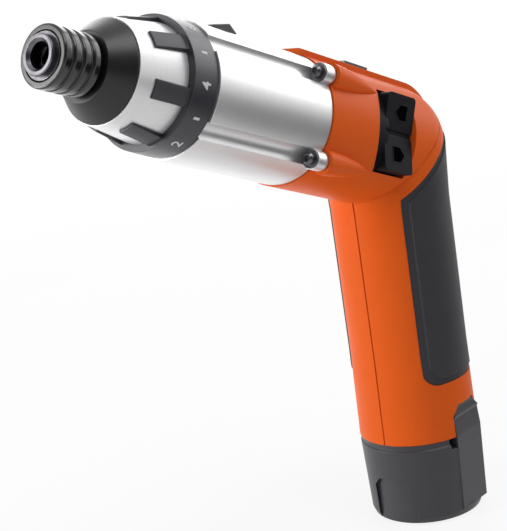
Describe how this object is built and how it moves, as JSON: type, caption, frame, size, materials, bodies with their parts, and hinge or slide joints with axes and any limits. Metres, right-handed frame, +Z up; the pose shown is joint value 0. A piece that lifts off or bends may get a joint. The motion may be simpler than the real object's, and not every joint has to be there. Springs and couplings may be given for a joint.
{
  "type": "electric screwdriver",
  "caption": "Pistol-grip cordless screwdriver with a twisting two-position handle, torque ring, quick-release hex bit holder, rocker switch and slide-out battery pack.",
  "frame": {"origin": "handle axis where it meets the flat base of the battery pack", "axes": "+Z up the handle axis, +X towards the nose, +Y to the left side, where the rocker is"},
  "size_m": [0.1722, 0.0435, 0.1985],
  "materials": {
    "orange_plastic": "fine moulded texture",
    "silver_paint": "satin metallic paint",
    "black_plastic": "matt moulded",
    "dark_plastic": "matt moulded",
    "grip_rubber": "soft overmoulding",
    "steel": "machined",
    "dark_steel": "blackened",
    "bright_steel": "polished",
    "black_metal": "satin black",
    "bronze": "sintered",
    "magnet": "sintered",
    "dark_lens": "clear dark lens",
    "board": "solder mask",
    "cell_wrap": "shrink film"
  },
  "bodies": {
    "housing": {"housing_left": "orange_plastic", "housing_right": "orange_plastic", "housing_screws": "dark_steel", "gear_case": "silver_paint", "gear_case_screws": "dark_steel", "nose_cone": "dark_plastic", "spindle_bush": "bronze", "clutch_plate": "steel", "clutch_spring": "steel", "clutch_nut": "dark_plastic", "ring_gear": "steel", "gearbox_back_plate": "steel", "motor_can": "steel", "motor_end_cap": "dark_plastic", "motor_magnets": "magnet", "rocker_pin": "steel", "switch_module": "black_plastic", "gauge_window": "dark_lens", "gauge_board": "board"},
    "rotor": {"motor_rotor": "steel", "motor_pinion": "steel"},
    "carrier_one": {"carrier_one": "steel"},
    "planet_one_a": {"planet_one_a": "steel"},
    "planet_one_b": {"planet_one_b": "steel"},
    "planet_one_c": {"planet_one_c": "steel"},
    "spindle": {"spindle": "dark_steel", "carrier_two": "steel", "locking_ball": "steel", "retaining_ring": "bright_steel", "sleeve_spring": "steel"},
    "planet_two_a": {"planet_two_a": "steel"},
    "planet_two_b": {"planet_two_b": "steel"},
    "planet_two_c": {"planet_two_c": "steel"},
    "sleeve": {"bit_sleeve": "black_metal"},
    "torque_ring": {"torque_ring": "black_plastic", "torque_ring_shell": "silver_paint"},
    "rocker": {"rocker_button": "black_plastic"},
    "selector": {"speed_selector": "dark_plastic", "speed_fork": "steel"},
    "handle": {"handle_left": "orange_plastic", "handle_right": "orange_plastic", "handle_screws": "dark_steel", "rear_grip": "grip_rubber", "contact_block": "black_plastic", "twist_hub": "dark_plastic", "hub_ring": "steel"},
    "battery": {"battery_cap": "dark_plastic", "battery_core": "dark_plastic", "battery_cell": "cell_wrap", "battery_contacts": "bronze"},
    "latch_left": {"latch_left": "dark_plastic"},
    "latch_right": {"latch_right": "dark_plastic"}
  },
  "joints": [
    {"name": "handle_twist", "type": "hinge", "parent": "housing", "child": "handle", "pos_m": [0, 0, 0.1331], "axis": [0.5642, 0, 0.8256], "range_deg": [0, 180]},
    {"name": "rotor_spin", "type": "hinge", "parent": "housing", "child": "rotor", "pos_m": [0.06988, 0, 0.16034], "axis": [0.9317, 0, 0.3633], "continuous": true},
    {"name": "carrier_one_spin", "type": "hinge", "parent": "housing", "child": "carrier_one", "pos_m": [0.06988, 0, 0.16034], "axis": [0.9317, 0, 0.3633], "continuous": true},
    {"name": "spindle_spin", "type": "hinge", "parent": "housing", "child": "spindle", "pos_m": [0.06988, 0, 0.16034], "axis": [0.9317, 0, 0.3633], "continuous": true},
    {"name": "planet_one_a_spin", "type": "hinge", "parent": "carrier_one", "child": "planet_one_a", "pos_m": [0.06988, 0.0081, 0.16034], "axis": [0.9317, 0, 0.3633], "continuous": true},
    {"name": "planet_one_b_spin", "type": "hinge", "parent": "carrier_one", "child": "planet_one_b", "pos_m": [0.06733, -0.00405, 0.16688], "axis": [0.9317, 0, 0.3633], "continuous": true},
    {"name": "planet_one_c_spin", "type": "hinge", "parent": "carrier_one", "child": "planet_one_c", "pos_m": [0.07243, -0.00405, 0.15381], "axis": [0.9317, 0, 0.3633], "continuous": true},
    {"name": "planet_two_a_spin", "type": "hinge", "parent": "spindle", "child": "planet_two_a", "pos_m": [0.06988, 0.0081, 0.16034], "axis": [0.9317, 0, 0.3633], "continuous": true},
    {"name": "planet_two_b_spin", "type": "hinge", "parent": "spindle", "child": "planet_two_b", "pos_m": [0.06733, -0.00405, 0.16688], "axis": [0.9317, 0, 0.3633], "continuous": true},
    {"name": "planet_two_c_spin", "type": "hinge", "parent": "spindle", "child": "planet_two_c", "pos_m": [0.07243, -0.00405, 0.15381], "axis": [0.9317, 0, 0.3633], "continuous": true},
    {"name": "sleeve_slide", "type": "slide", "parent": "spindle", "child": "sleeve", "axis": [0.9317, 0, 0.3633], "range_m": [0, 0.003], "stiffness_N_per_m": 500, "springref_m": -0.002},
    {"name": "torque_ring_turn", "type": "hinge", "parent": "housing", "child": "torque_ring", "pos_m": [0.06988, 0, 0.16034], "axis": [0.9317, 0, 0.3633], "range_deg": [-128, 147]},
    {"name": "rocker_tilt", "type": "hinge", "parent": "housing", "child": "rocker", "pos_m": [0.06957, 0.01628, 0.16114], "axis": [0.9317, 0, 0.3633], "range_deg": [-5, 5], "stiffness_Nm_per_rad": 0.4},
    {"name": "selector_slide", "type": "slide", "parent": "housing", "child": "selector", "axis": [-0.9317, 0, -0.3633], "range_m": [0, 0.005]},
    {"name": "battery_slide", "type": "slide", "parent": "handle", "child": "battery", "axis": [0, 0, -1], "range_m": [0, 0.075]},
    {"name": "latch_left_press", "type": "slide", "parent": "battery", "child": "latch_left", "axis": [0, -1, 0], "range_m": [0, 0.0008], "stiffness_N_per_m": 800, "springref_m": -0.0005},
    {"name": "latch_right_press", "type": "slide", "parent": "battery", "child": "latch_right", "axis": [0, 1, 0], "range_m": [0, 0.0008], "stiffness_N_per_m": 800, "springref_m": -0.0005}
  ],
  "couplings": [
    {"joint": "carrier_one_spin", "follows": "rotor_spin", "ratio": 0.22222},
    {"joint": "spindle_spin", "follows": "rotor_spin", "ratio": 0.049383},
    {"joint": "planet_one_a_spin", "follows": "rotor_spin", "ratio": -0.62222},
    {"joint": "planet_one_b_spin", "follows": "rotor_spin", "ratio": -0.62222},
    {"joint": "planet_one_c_spin", "follows": "rotor_spin", "ratio": -0.62222},
    {"joint": "planet_two_a_spin", "follows": "rotor_spin", "ratio": -0.13827},
    {"joint": "planet_two_b_spin", "follows": "rotor_spin", "ratio": -0.13827},
    {"joint": "planet_two_c_spin", "follows": "rotor_spin", "ratio": -0.13827}
  ]
}
